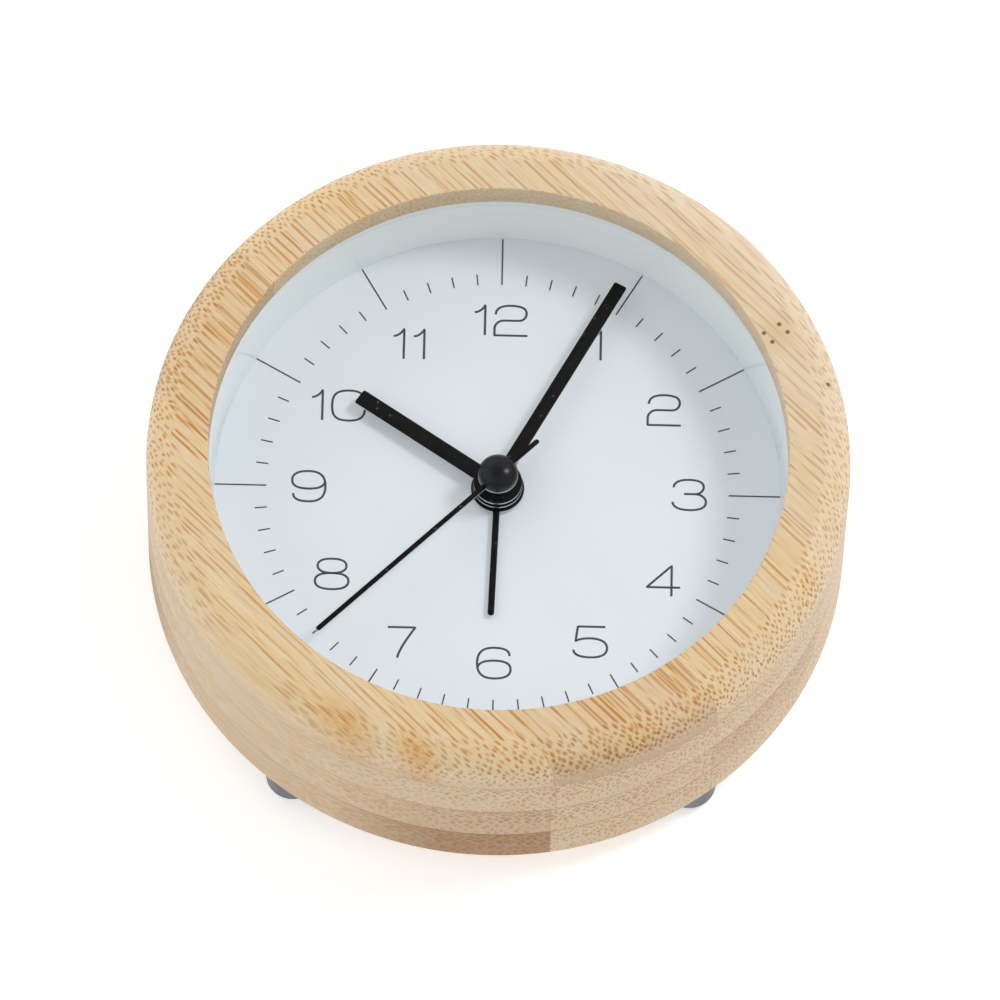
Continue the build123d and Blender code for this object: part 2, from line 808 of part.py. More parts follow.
pieces = {
    "bamboo_case": bamboo_case(),
    "rubber_feet": rubber_feet(),
    "lens": lens(),
    "spacer_ring": spacer_ring(),
    "dial": dial(),
    "rear_cover": rear_cover(),
    "cover_screws": cover_screws(),
    "rear_case": rear_case(),
    "front_plate": front_plate(),
    "train_plate": train_plate(),
    "rotor": rotor(),
    "intermediate_wheel": intermediate_wheel(),
    "seconds_wheel": seconds_wheel(),
    "third_wheel": third_wheel(),
    "centre_wheel": centre_wheel(),
    "minute_wheel": minute_wheel(),
    "hour_wheel": hour_wheel(),
    "alarm_wheel": alarm_wheel(),
    "time_set_arbor": setting_arbor(time_pinion_teeth, motion_module, time_phase, minute_z, time_at),
    "time_set_knob": setting_knob(time_at),
    "alarm_set_arbor": setting_arbor(
        alarm_pinion_teeth, alarm_module, alarm_pinion_phase, alarm_z, alarm_at
    ),
    "alarm_set_knob": setting_knob(alarm_at),
    "alarm_switch": alarm_switch(),
    "stator": stator(),
    "coil_core": coil_core(),
    "coil": coil(),
    "circuit_board": circuit_board(),
    "quartz_crystal": quartz_crystal(),
    "buzzer": buzzer(),
    "alarm_contact": alarm_contact(),
    "battery": battery(),
    "contact_positive": cell_contact(1),
    "contact_negative": cell_contact(-1),
    "battery_door": battery_door(),
    "alarm_hand": alarm_hand(),
    "hour_hand": hour_hand(),
    "minute_hand": minute_hand(),
    "second_hand": second_hand(),
    "hand_cap": hand_cap(),
}

for name, piece in pieces.items():
    export_step(piece, f"parts/{name}.step")
print(f"{len(pieces)} pieces, case depth {front_z - back_z:.2f} mm, dial at {dial_z:.2f} mm")
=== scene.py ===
import math

import bmesh
import bpy
from mathutils import Matrix, Vector


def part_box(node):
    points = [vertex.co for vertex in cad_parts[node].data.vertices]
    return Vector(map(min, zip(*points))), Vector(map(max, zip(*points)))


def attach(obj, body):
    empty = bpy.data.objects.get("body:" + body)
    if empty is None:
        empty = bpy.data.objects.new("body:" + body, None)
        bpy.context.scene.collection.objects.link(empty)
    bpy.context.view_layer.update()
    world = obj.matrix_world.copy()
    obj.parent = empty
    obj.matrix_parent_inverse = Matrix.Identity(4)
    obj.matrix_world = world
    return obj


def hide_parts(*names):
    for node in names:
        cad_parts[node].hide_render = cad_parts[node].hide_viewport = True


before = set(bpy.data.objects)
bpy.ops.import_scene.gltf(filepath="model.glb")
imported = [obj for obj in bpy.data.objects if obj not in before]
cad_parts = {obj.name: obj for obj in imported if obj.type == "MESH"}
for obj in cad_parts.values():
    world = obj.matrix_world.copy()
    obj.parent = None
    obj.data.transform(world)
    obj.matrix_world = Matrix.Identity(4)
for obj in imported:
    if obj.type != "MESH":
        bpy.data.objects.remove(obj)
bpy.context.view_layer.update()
mm = 0.001
touch = 1e-7                      # m, points closer than this count as one
smoothAngle = math.radians(32)    # edges that turn more than this stay sharp
cornerSegments = 5                # of a block's upright edges
edgeSegments = 3                  # of fine edges
noiseRange = {"From Min": 0.3, "From Max": 0.7}    # holds most values of a noise texture
reliefShare = 0.2                 # height of a surface grain against its width


# Shared helpers for meshes

def nodeBox(name):
    return [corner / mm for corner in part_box(name)]


# A profile of (radius, height, rounding) corners in mm, spun round the Z axis
def spinProfile(bm, corners, steps, roundSegments=8):
    start = set(bm.verts)
    points = [bm.verts.new((radius * mm, 0, height * mm)) for radius, height, _ in corners]
    bm.faces.new(points)
    for point, (_, _, rounding) in zip(points, corners):
        if rounding:
            bmesh.ops.bevel(bm, geom=[point], offset=rounding * mm, offset_type="OFFSET",
                            segments=roundSegments, profile=0.5, affect="VERTICES", material=-1)
    face = next(face for face in bm.faces if start.isdisjoint(face.verts))
    loop = list(face.verts)
    bmesh.ops.delete(bm, geom=[face], context="FACES_ONLY")
    edges = {edge for vert in loop for edge in vert.link_edges}
    axisEdges = [edge for edge in edges if all(vert.co.x < touch for vert in edge.verts)]
    bmesh.ops.delete(bm, geom=axisEdges, context="EDGES")
    loop = [vert for vert in loop if vert.is_valid]
    edges = [edge for edge in edges if edge.is_valid]
    bmesh.ops.spin(bm, geom=loop + edges, axis=(0, 0, 1), cent=(0, 0, 0), steps=steps,
                   angle=math.tau, use_merge=True, use_duplicate=False)
    made = [vert for vert in bm.verts if vert not in start]
    bmesh.ops.remove_doubles(bm, verts=made, dist=touch)
    made = [vert for vert in bm.verts if vert not in start]
    madeEdges = list({edge for vert in made for edge in vert.link_edges})
    bmesh.ops.dissolve_degenerate(bm, dist=touch / 10, edges=madeEdges)
    made = [vert for vert in bm.verts if vert not in start]
    bmesh.ops.recalc_face_normals(bm, faces=list({face for vert in made for face in vert.link_faces}))
    return made


# A block from one corner to the other in mm, with rounded upright edges and finely rounded rims
def addBlock(bm, low, high, cornerRound=0.0, rimRound=0.0):
    low, high = Vector(low) * mm, Vector(high) * mm
    place = Matrix.Translation((low + high) / 2) @ Matrix.Diagonal((*(high - low), 1))
    around = set(bm.verts)
    made = bmesh.ops.create_cube(bm, size=1, matrix=place)["verts"]
    if cornerRound:
        upright = [edge for edge in {edge for vert in made for edge in vert.link_edges}
                   if abs(edge.verts[0].co.z - edge.verts[1].co.z) > touch]
        bmesh.ops.bevel(bm, geom=upright, offset=cornerRound * mm, offset_type="OFFSET",
                        segments=cornerSegments, profile=0.5, affect="EDGES", material=-1)
    if rimRound:
        for level in (high.z, low.z):
            made = [vert for vert in bm.verts if vert not in around]
            rim = [edge for edge in {edge for vert in made for edge in vert.link_edges}
                   if all(abs(vert.co.z - level) < touch for vert in edge.verts)]
            bmesh.ops.bevel(bm, geom=rim, offset=rimRound * mm, offset_type="OFFSET",
                            segments=edgeSegments, profile=0.5, affect="EDGES", material=-1)
    return [vert for vert in bm.verts if vert not in around]


# A finished piece: its mesh, its materials, the body it rides on and the nodes it stands for
def finishPiece(bm, name, body, materials, nodes=()):
    mesh = bpy.data.meshes.new(name)
    for face in bm.faces:
        face.smooth = True
    bm.to_mesh(mesh)
    bm.free()
    mesh.set_sharp_from_angle(angle=smoothAngle)
    for material in materials:
        mesh.materials.append(material)
    piece = bpy.data.objects.new(name, mesh)
    bpy.context.scene.collection.objects.link(piece)
    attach(piece, body)
    if nodes:
        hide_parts(*nodes)


# Shared helpers for materials

# A colour in sRGB hex, turned to linear light
def hexColour(text):
    channels = [int(text[place:place + 2], 16) / 255 for place in (1, 3, 5)]
    linear = [((c + 0.055) / 1.055) ** 2.4 if c > 0.04045 else c / 12.92 for c in channels]
    return (*linear, 1.0)


# The owner of a node is a material or the world
def setInputs(owner, node, values):
    for key, value in values.items():
        if isinstance(value, bpy.types.NodeSocket):
            owner.node_tree.links.new(value, node.inputs[key])
        else:
            node.inputs[key].default_value = value


# Adds a node with its settings and links, and gives back its outputs
def addNode(owner, kind, values=None, **settings):
    node = owner.node_tree.nodes.new("ShaderNode" + kind)
    for key, value in settings.items():
        setattr(node, key, value)
    setInputs(owner, node, values or {})
    return node.outputs


def newMaterial(name):
    material = bpy.data.materials.new(name)
    material.use_nodes = True
    return material, material.node_tree.nodes["Principled BSDF"]


# Turns sizes of a pattern in mm into its steps per mm
def perMm(sizes):
    return [1 / size for size in sizes]


# Bamboo

bambooLook = {
    "layer": 8.0,            # mm, thickness of one glued layer
    "layers": 4,
    "inside": 0.001,         # share of a layer, keeps front and back from counting as another layer
    "fibreTurn": 45.0,       # degrees, fibres run from upper left to lower right
    "strip": 24.5,           # mm, width of the strips in a layer
    "stripStart": -30.0,     # mm across the fibres, first strip seam
    "stripShift": 0.4,       # mm, how far a layer's seams stand off the others
    "stripSeed": 416435.0,   # picks the tones of the strips
    "stripJump": (40, 40, 40),    # keeps the patterns of the strips apart
    "denseFront": 0.6,       # below 1 the bundles lie closer at the front of a layer
    "denseMiddle": -8.0,     # mm across the fibres, where the bundles show most on the face
    # Sizes of the patterns in mm along, across and through the layers
    "wanderSize": (15.0, 2.2222, 4.0),        # how soon a bundle wanders off
    "wander": (0, 0.5, 2.6),                  # how far it does
    "patchSize": (20.0, 4.5455, 3.3333),      # patches of denser and warmer wood
    "fibreSize": (12.5, 0.27778, 0.27778),    # hair-fine fibres, drawn coarser than real ones, to show
    "fibreRough": 0.6,
    "bundleWidth": 0.74,     # mm between fibre bundles across the strip
    "bundleDepth": 0.95,     # mm between fibre bundles through the layer
    "bundleTurn": 45.0,      # degrees, keeps them from standing in rows along the layer
    "scatter": 0.55,         # 0 is a grid of bundles, 1 is no order at all
    "core": 0.35,            # share of a bundle's reach that is fully dark
    "pale": "#eed8b1",
    "honey": "#e2c08c",
    "bundle": "#c4823a",
    # Darker, greyer copies of pale, honey and bundle for the upright faces: painted shade
    "shadedWallPale": "#d3bd9c",
    "shadedWallDeep": "#c2a682",
    "shadedWallBundle": "#a06d36",
    "darkStrip": "#c3a67a",
    "darkPower": 1.5,        # above 1 few strips are dark
    "glue": "#7d5530",
    "lastGlue": 0.4,         # the line before the last layer shows this much more
    "roughness": {"To Min": 0.46, "To Max": 0.62},    # of the ground and of a bundle
    "bundleRelief": -0.6,
    "glueRelief": -1.5,
    "bump": 0.12,
    "bumpHeight": 0.1,       # mm
    "ior": 1.48,
    # Height of the normal where the face ends and where the wall has begun, and where the painted shade of
    # the sides starts and is full
    "turns": {"wall": (0.9, 0.25), "sideShadeTurn": (0.95, 0.0)},
    # What a share follows, from where to where, and its values there, some of them other shares
    "shares": {
        # Painted shade of the sides: weak on the front rounding, full further back
        "shadeByDepth": ("layerPlace", (0.15, 0.85), (0.35, 1)),
        "endGrain": ("facing", (0.1, 0.6), (0, 1)),
        "fineTone": ("fibres", (0.3, 0.7), (0, 1)),
        "onFace": ("wall", (0, 1), ("frontLayer", 0)),
        # Reach of a bundle against the room between bundles
        "depthReach": ("depth", (0.5, 0.9), (0.32, 0.20)),
        "wallReach": ("wall", (0, 1), (0, 0.04)),
        "patchReach": ("patchy", (0, 1), (0, 0.22)),
        "stripReach": ("chance", (0.2, 1), (0.04, -0.06)),
        # How dark a bundle is; offMiddle in mm
        "bundleTone": ("cellTone", (0, 1), (0.55, 1)),
        "fadeEnd": ("chance", (0.3, 0.8), (0.75, 1.1)),
        "frontFade": ("depth", (0.45, "fadeEnd"), (1, 0.28)),
        "laterFade": ("depth", (0, 0.8), (0.95, 0.5)),
        "layerFade": ("frontLayer", (0, 1), ("laterFade", "frontFade")),
        "faceFade": ("offMiddle", (25, 36), (0.95, 0.68)),
        "cutSquare": ("wall", (0, 1), (1, "endGrain")),
        "cutFade": ("cutSquare", (0, 1), (0.3, 1)),
        "lipFade": ("inward", (-20 * mm, 0), (0.35, 1)),
        # Tone of a strip
        "darkness": ("chance", (0, 0.5), (1, 0)),
        "wallSoaked": ("endGrain", (0.4, 1), (0.15, 1.25)),
        "soaked": ("wall", (0, 1), (0.42, "wallSoaked")),
        "stripTone": ("chance", (0.5, 1), (1, 0.98)),
        "patchWarmth": ("patchy", (0.3, 0.7), (0.9, 1.08)),
        "paleTowardsUpperRight": ("across", (18, 48), (1, 0.8)),
        # Glue lines, and half their width in mm
        "layerStrength": ("patchy", (0.35, 0.6), (0.25, 0.55)),
        "layerGlue": ("layerLine", (0, 0.15), (1, 0)),
        "stripStrength": ("wall", (0, 1), (0.1, 0.35)),
        "stripGlue": ("stripLine", (0, 0.15), ("stripStrength", 0)),
    },
    # Sap stains, a node scar and its pits: mm along and across the fibres, and mm out to the edge;
    # a stretch below 1 draws a mark out along the fibres
    "marks": [
        {"spots": [(17.1, -47.5, 5.9), (27.4, -43.2, 4.9)], "core": 2.0, "cover": 0.65, "stretch": 0.6,
         "ragged": 3.5, "within": "frontLayer", "colour": "#f5d083", "blend": "MULTIPLY"},
        {"spots": [(15.4, 43.2, 4.0)], "core": 0.5, "cover": 0.5, "stretch": 1.0,
         "ragged": 0.0, "within": "fineTone", "colour": "#e2c08c", "blend": "MULTIPLY"},
        {"spots": [(14.2, 44.5, 0.42), (16.0, 44.5, 0.42), (13.7, 41.8, 0.42), (15.6, 41.7, 0.42),
                   (26.2, 43.0, 0.42)], "core": 0.252, "cover": 0.85, "stretch": 1.0,
         "ragged": 0.0, "within": "onFace", "colour": "#5c4126", "blend": "MIX"},
    ],
}


# Where a point lies: in mm along and across the fibres, in which layer and strip, and how far off a glue line
def bambooPlace(material, coords, frontHeight):
    look = bambooLook
    turned = addNode(material, "Mapping", {
        "Vector": coords["Object"], "Scale": (1 / mm, 1 / mm, 1 / mm),
        "Rotation": (0, 0, math.radians(look["fibreTurn"]))})["Vector"]
    axes = addNode(material, "SeparateXYZ", {"Vector": turned})
    backHeight = frontHeight - look["layer"] * look["layers"]
    layerPlace = addNode(material, "MapRange", {
        "Value": axes["Z"], "From Min": frontHeight, "From Max": backHeight,
        "To Min": look["inside"], "To Max": look["layers"] - look["inside"]}, clamp=True)["Result"]
    layer = addNode(material, "Math", {0: layerPlace}, operation="FLOOR")[0]
    depth = addNode(material, "Math", {0: layerPlace}, operation="FRACT")[0]
    frontLayer = addNode(material, "Math", {0: layer, 1: 0.0, 2: 0.5}, operation="COMPARE")[0]
    layerChance = addNode(material, "TexWhiteNoise", {"W": layer}, noise_dimensions="1D")["Value"]
    shift = addNode(material, "MapRange", {
        "Value": layerChance, "To Min": -look["stripStart"] - look["stripShift"],
        "To Max": -look["stripStart"] + look["stripShift"]})["Result"]
    shifted = addNode(material, "Math", {0: axes["Y"], 1: shift}, operation="ADD")[0]
    stripPlace = addNode(material, "Math", {0: shifted, 1: look["strip"]}, operation="DIVIDE")[0]
    strip = addNode(material, "Math", {0: stripPlace}, operation="FLOOR")[0]
    stripKey = addNode(material, "CombineXYZ", {"X": layer, "Y": strip, "Z": look["stripSeed"]})["Vector"]
    chance = addNode(material, "TexWhiteNoise", {"Vector": stripKey}, noise_dimensions="3D")
    jump = addNode(material, "VectorMath", {0: chance["Color"], 1: look["stripJump"]},
                   operation="MULTIPLY")[0]
    offMiddle = addNode(material, "Math", {0: axes["Y"], 1: look["denseMiddle"]}, operation="SUBTRACT")[0]
    offMiddle = addNode(material, "Math", {0: offMiddle}, operation="ABSOLUTE")[0]
    grain = {"turned": turned, "along": axes["X"], "across": axes["Y"], "offMiddle": offMiddle,
             "layerPlace": layerPlace, "layer": layer, "depth": depth, "frontLayer": frontLayer,
             "chance": chance["Value"], "jump": jump}
    for line, place, width in (("layerLine", layerPlace, "layer"), ("stripLine", stripPlace, "strip")):
        offLine = addNode(material, "Math", {0: place, 1: 0.5}, operation="PINGPONG")[0]
        grain[line] = addNode(material, "Math", {0: offLine, 1: look[width]}, operation="MULTIPLY")[0]
    return grain


# How the surface lies: wall is 1 on upright faces, the share of painted side shade grows as a face turns from
# the front, facing is 1 where the fibres are cut square, and inward is below 0 on the lip
def bambooLie(material, coords, grain):
    upward = addNode(material, "SeparateXYZ", {"Vector": coords["Normal"]})["Z"]
    for name, (faceEnd, wallStart) in bambooLook["turns"].items():
        grain[name] = addNode(material, "MapRange", {
            "Value": upward, "From Min": faceEnd, "From Max": wallStart},
            interpolation_type="SMOOTHSTEP")["Result"]
    fibreAngle = math.radians(bambooLook["fibreTurn"])
    fibreAxis = (math.cos(fibreAngle), -math.sin(fibreAngle), 0)
    facing = addNode(material, "VectorMath", {0: coords["Normal"], 1: fibreAxis},
                     operation="DOT_PRODUCT")["Value"]
    grain["facing"] = addNode(material, "Math", {0: facing}, operation="ABSOLUTE")[0]
    grain["inward"] = addNode(material, "VectorMath", {0: coords["Normal"], 1: coords["Object"]},
                              operation="DOT_PRODUCT")["Value"]


# The course of the fibres, which wander on their way: patches, hair-fine fibres, and cells for the
# bundles in the section across them
def bambooFibres(material, grain):
    look = bambooLook
    closer = addNode(material, "Math", {0: grain["depth"], 1: look["denseFront"]}, operation="POWER")[0]
    closer = addNode(material, "Math", {0: closer, 1: grain["layer"]}, operation="ADD")[0]
    closer = addNode(material, "Math", {0: closer, 1: look["layer"]}, operation="MULTIPLY")[0]
    grown = addNode(material, "CombineXYZ", {
        "X": grain["along"], "Y": grain["across"], "Z": closer})["Vector"]
    wanderPlace = addNode(material, "VectorMath", {
        0: grain["turned"], 1: perMm(look["wanderSize"]), 2: grain["jump"]}, operation="MULTIPLY_ADD")[0]
    wander = addNode(material, "TexNoise", {"Vector": wanderPlace, "Scale": 1.0, "Detail": 2.0})["Color"]
    wandered = addNode(material, "VectorMath", {0: wander, 1: look["wander"], 2: grown},
                       operation="MULTIPLY_ADD")[0]
    patchPlace = addNode(material, "VectorMath", {
        0: grain["turned"], 1: perMm(look["patchSize"]), 2: grain["jump"]}, operation="MULTIPLY_ADD")[0]
    grain["patchy"] = addNode(material, "TexNoise", {
        "Vector": patchPlace, "Scale": 1.0, "Detail": 2.0})["Fac"]
    fibrePlace = addNode(material, "VectorMath", {
        0: wandered, 1: perMm(look["fibreSize"]), 2: grain["jump"]}, operation="MULTIPLY_ADD")[0]
    grain["fibres"] = addNode(material, "TexNoise", {
        "Vector": fibrePlace, "Scale": 1.0, "Detail": 3.0, "Roughness": look["fibreRough"]})["Fac"]
    spread = addNode(material, "VectorMath", {
        0: wandered, 1: perMm((1, look["bundleWidth"], look["bundleDepth"])), 2: grain["jump"]},
        operation="MULTIPLY_ADD")[0]
    spread = addNode(material, "SeparateXYZ", {"Vector": spread})
    section = addNode(material, "CombineXYZ", {"X": spread["Y"], "Y": spread["Z"]})["Vector"]
    section = addNode(material, "Mapping", {
        "Vector": section, "Rotation": (0, 0, math.radians(look["bundleTurn"]))})["Vector"]
    cells = addNode(material, "TexVoronoi", {
        "Vector": section, "Scale": 1.0, "Randomness": look["scatter"]}, voronoi_dimensions="2D")
    grain["offCentre"] = cells["Distance"]
    grain["cellTone"] = addNode(material, "SeparateColor", {"Color": cells["Color"]})["Red"]


# Fibre bundles: dots where they are cut square and streaks along them, dark at the front of a layer and
# fading towards its back
def bambooBundles(material, grain):
    reach = grain["depthReach"]
    for name in ("wallReach", "patchReach", "stripReach"):
        reach = addNode(material, "Math", {0: reach, 1: grain[name]}, operation="ADD")[0]
    core = addNode(material, "Math", {0: reach, 1: bambooLook["core"]}, operation="MULTIPLY")[0]
    bundle = addNode(material, "MapRange", {
        "Value": grain["offCentre"], "From Min": core, "From Max": reach, "To Min": 1.0, "To Max": 0.0},
        interpolation_type="SMOOTHSTEP")["Result"]
    for name in ("bundleTone", "layerFade", "faceFade", "cutFade", "lipFade"):
        bundle = addNode(material, "Math", {0: bundle, 1: grain[name]}, operation="MULTIPLY")[0]
    return bundle


# Strips differ in tone, most where their fibres are cut square, and the wood is less saturated towards the
# upper right
def stripTones(material, grain, wood):
    look = bambooLook
    darkness = addNode(material, "Math", {0: grain["darkness"], 1: look["darkPower"]}, operation="POWER")[0]
    darkness = addNode(material, "Math", {0: darkness, 1: grain["soaked"]}, operation="MULTIPLY")[0]
    wood = addNode(material, "Mix", {0: darkness, 6: wood, 7: hexColour(look["darkStrip"])},
                   data_type="RGBA", blend_type="MULTIPLY")[2]
    warmth = addNode(material, "Math", {0: grain["patchWarmth"], 1: grain["paleTowardsUpperRight"]},
                     operation="MULTIPLY")[0]
    return addNode(material, "HueSaturation", {
        "Saturation": warmth, "Value": grain["stripTone"], "Color": wood})["Color"]


# Natural marks: each fades out from its middle, with a ragged edge where fibres draw it out
def naturalMarks(material, grain, wood):
    for mark in bambooLook["marks"]:
        stretch = mark["stretch"]
        place = addNode(material, "VectorMath", {0: grain["turned"], 1: (stretch, 1, 0)},
                        operation="MULTIPLY")[0]
        ragged = addNode(material, "Math", {0: grain["fibres"], 1: mark["ragged"]}, operation="MULTIPLY")[0]
        for along, across, edge in mark["spots"]:
            away = addNode(material, "VectorMath", {0: place, 1: (along * stretch, across, 0)},
                           operation="DISTANCE")["Value"]
            away = addNode(material, "Math", {0: away, 1: ragged}, operation="ADD")[0]
            cover = addNode(material, "MapRange", {
                "Value": away, "From Min": mark["core"], "From Max": edge,
                "To Min": mark["cover"], "To Max": 0.0})["Result"]
            cover = addNode(material, "Math", {0: cover, 1: grain[mark["within"]]}, operation="MULTIPLY")[0]
            wood = addNode(material, "Mix", {0: cover, 6: wood, 7: hexColour(mark["colour"])},
                           data_type="RGBA", blend_type=mark["blend"])[2]
    return wood


# Glue lines between layers and between strips, none at the front and the back
def glueLines(material, grain):
    layers = bambooLook["layers"]
    half = layers / 2
    boundary = addNode(material, "Math", {0: grain["layerPlace"]}, operation="ROUND")[0]
    inner = addNode(material, "Math", {0: boundary, 1: half, 2: half - 0.5}, operation="COMPARE")[0]
    last = addNode(material, "Math", {0: boundary, 1: layers - 1, 2: 0.5}, operation="COMPARE")[0]
    strength = addNode(material, "Math", {0: last, 1: bambooLook["lastGlue"], 2: grain["layerStrength"]},
                       operation="MULTIPLY_ADD")[0]
    layerGlue = grain["layerGlue"]
    for share in (strength, inner):
        layerGlue = addNode(material, "Math", {0: layerGlue, 1: share}, operation="MULTIPLY")[0]
    return addNode(material, "Math", {0: layerGlue, 1: grain["stripGlue"]}, operation="MAXIMUM")[0]


# Laminated bamboo, turned, sanded and oiled: silky, with short streaks of fibre on the face and
# close dots where the fibres end; painted shade makes its sides darker and greyer
def sandedBamboo(frontHeight):
    look = bambooLook
    material, shader = newMaterial("sandedBamboo")
    coords = addNode(material, "TexCoord")
    grain = bambooPlace(material, coords, frontHeight)
    bambooLie(material, coords, grain)
    bambooFibres(material, grain)
    for name, (cause, fromRange, toRange) in look["shares"].items():
        limits = [grain.get(limit, limit) for limit in (*fromRange, *toRange)]
        grain[name] = addNode(material, "MapRange", {
            "Value": grain[cause], "From Min": limits[0], "From Max": limits[1],
            "To Min": limits[2], "To Max": limits[3]})["Result"]
    bundle = bambooBundles(material, grain)
    face = addNode(material, "Mix", {
        0: grain["fineTone"], 6: hexColour(look["honey"]), 7: hexColour(look["pale"])}, data_type="RGBA")[2]
    # Upright faces take the darker, greyer copies, mixed in by the turn of the face and by its depth: painted
    # shade
    side = addNode(material, "Mix", {
        0: grain["fineTone"], 6: hexColour(look["shadedWallDeep"]), 7: hexColour(look["shadedWallPale"])},
        data_type="RGBA")[2]
    paintedShadeShare = addNode(material, "Math", {0: grain["sideShadeTurn"], 1: grain["shadeByDepth"]}, operation="MULTIPLY")[0]
    base = addNode(material, "Mix", {0: paintedShadeShare, 6: face, 7: side}, data_type="RGBA")[2]
    # Bundles on upright faces also take a darker copy: painted shade
    streak = addNode(material, "Mix", {
        0: grain["wall"], 6: hexColour(look["bundle"]), 7: hexColour(look["shadedWallBundle"])},
        data_type="RGBA")[2]
    wood = addNode(material, "Mix", {0: bundle, 6: base, 7: streak}, data_type="RGBA")[2]
    wood = stripTones(material, grain, wood)
    wood = naturalMarks(material, grain, wood)
    glue = glueLines(material, grain)
    colour = addNode(material, "Mix", {0: glue, 6: wood, 7: hexColour(look["glue"])}, data_type="RGBA")[2]
    rough = addNode(material, "MapRange", {"Value": bundle, **look["roughness"]})["Result"]
    relief = addNode(material, "Math", {0: bundle, 1: look["bundleRelief"], 2: grain["fibres"]},
                     operation="MULTIPLY_ADD")[0]
    relief = addNode(material, "Math", {0: glue, 1: look["glueRelief"], 2: relief},
                     operation="MULTIPLY_ADD")[0]
    bump = addNode(material, "Bump", {
        "Height": relief, "Strength": look["bump"], "Distance": look["bumpHeight"] * mm})["Normal"]
    setInputs(material, shader, {
        "Base Color": colour, "Roughness": rough, "Normal": bump, "IOR": look["ior"]})
    return material


caseSizes = {
    "opening": 43.2,       # mm, radius of the opening at the front
    "frontRound": 4.5,     # mm
    "roundSegments": 10,
    "lipEdge": 0.25,       # mm
    "backEdge": 0.6,       # mm
    "boreEdge": 0.3,       # mm
    "coverRoom": 0.1,      # mm round the rear cover
    "steps": 192,
}


def makeCase():
    low, high = nodeBox("bamboo_case")
    seat = nodeBox("lens")[1].z
    bore = nodeBox("rear_cover")[1].x + caseSizes["coverRoom"]
    corners = [
        (bore, low.z, caseSizes["boreEdge"]),
        (high.x, low.z, caseSizes["backEdge"]),
        (high.x, high.z, caseSizes["frontRound"]),
        (caseSizes["opening"], high.z, caseSizes["lipEdge"]),
        (caseSizes["opening"], seat, 0),
        (bore, seat, 0),
    ]
    bm = bmesh.new()
    spinProfile(bm, corners, caseSizes["steps"], caseSizes["roundSegments"])
    finishPiece(bm, "bambooCase", "case", [sandedBamboo(high.z)], ["bamboo_case"])


# Plastics

dustLook = {
    "clean": 0.6,                                  # share of the places for a speck that stay bare
    "speck": {"From Min": 0.06, "From Max": 0.15, "To Min": 0.5, "To Max": 0.0},
    "colour": "#b9bcc0",
}


# A few pale specks of dust, with the given room between them in mm
def settleDust(material, coords, room, colour):
    specks = addNode(material, "TexVoronoi", {"Vector": coords, "Scale": 1 / (room * mm)})
    settled = addNode(material, "SeparateColor", {"Color": specks["Color"]})["Red"]
    settled = addNode(material, "Math", {0: settled, 1: dustLook["clean"]}, operation="GREATER_THAN")[0]
    dusty = addNode(material, "MapRange", {"Value": specks["Distance"], **dustLook["speck"]})["Result"]
    dusty = addNode(material, "Math", {0: dusty, 1: settled}, operation="MULTIPLY")[0]
    return addNode(material, "Mix", {0: dusty, 6: colour, 7: hexColour(dustLook["colour"])},
                   data_type="RGBA")[2]


# Moulded or painted: an even colour with faint flow marks and a fine grain from mould or paint
def mouldedPlastic(name, look):
    material, shader = newMaterial(name)
    coords = addNode(material, "TexCoord")["Object"]
    flow = addNode(material, "TexNoise", {
        "Vector": coords, "Scale": 1 / (look["flow"] * mm), "Detail": 2.0})["Fac"]
    grain = addNode(material, "TexNoise", {
        "Vector": coords, "Scale": 1 / (look["grain"] * mm), "Detail": 2.0, "Roughness": 0.6})["Fac"]
    blend = addNode(material, "MapRange", {"Value": flow, **noiseRange})["Result"]
    colour = addNode(material, "Mix", {
        0: blend, 6: hexColour(look["dark"]), 7: hexColour(look["light"])}, data_type="RGBA")[2]
    if "dust" in look:
        colour = settleDust(material, coords, look["dust"], colour)
    rough = addNode(material, "MapRange", {
        "Value": grain, **noiseRange, "To Min": look["roughness"] - look["spread"],
        "To Max": look["roughness"] + look["spread"]})["Result"]
    bump = addNode(material, "Bump", {
        "Height": grain, "Strength": look["bump"], "Distance": look["grain"] * mm * reliefShare})["Normal"]
    setInputs(material, shader, {"Base Color": colour, "Roughness": rough, "Normal": bump, "IOR": look["ior"],
                                 "Specular IOR Level": look.get("specular", 0.5)})
    return material


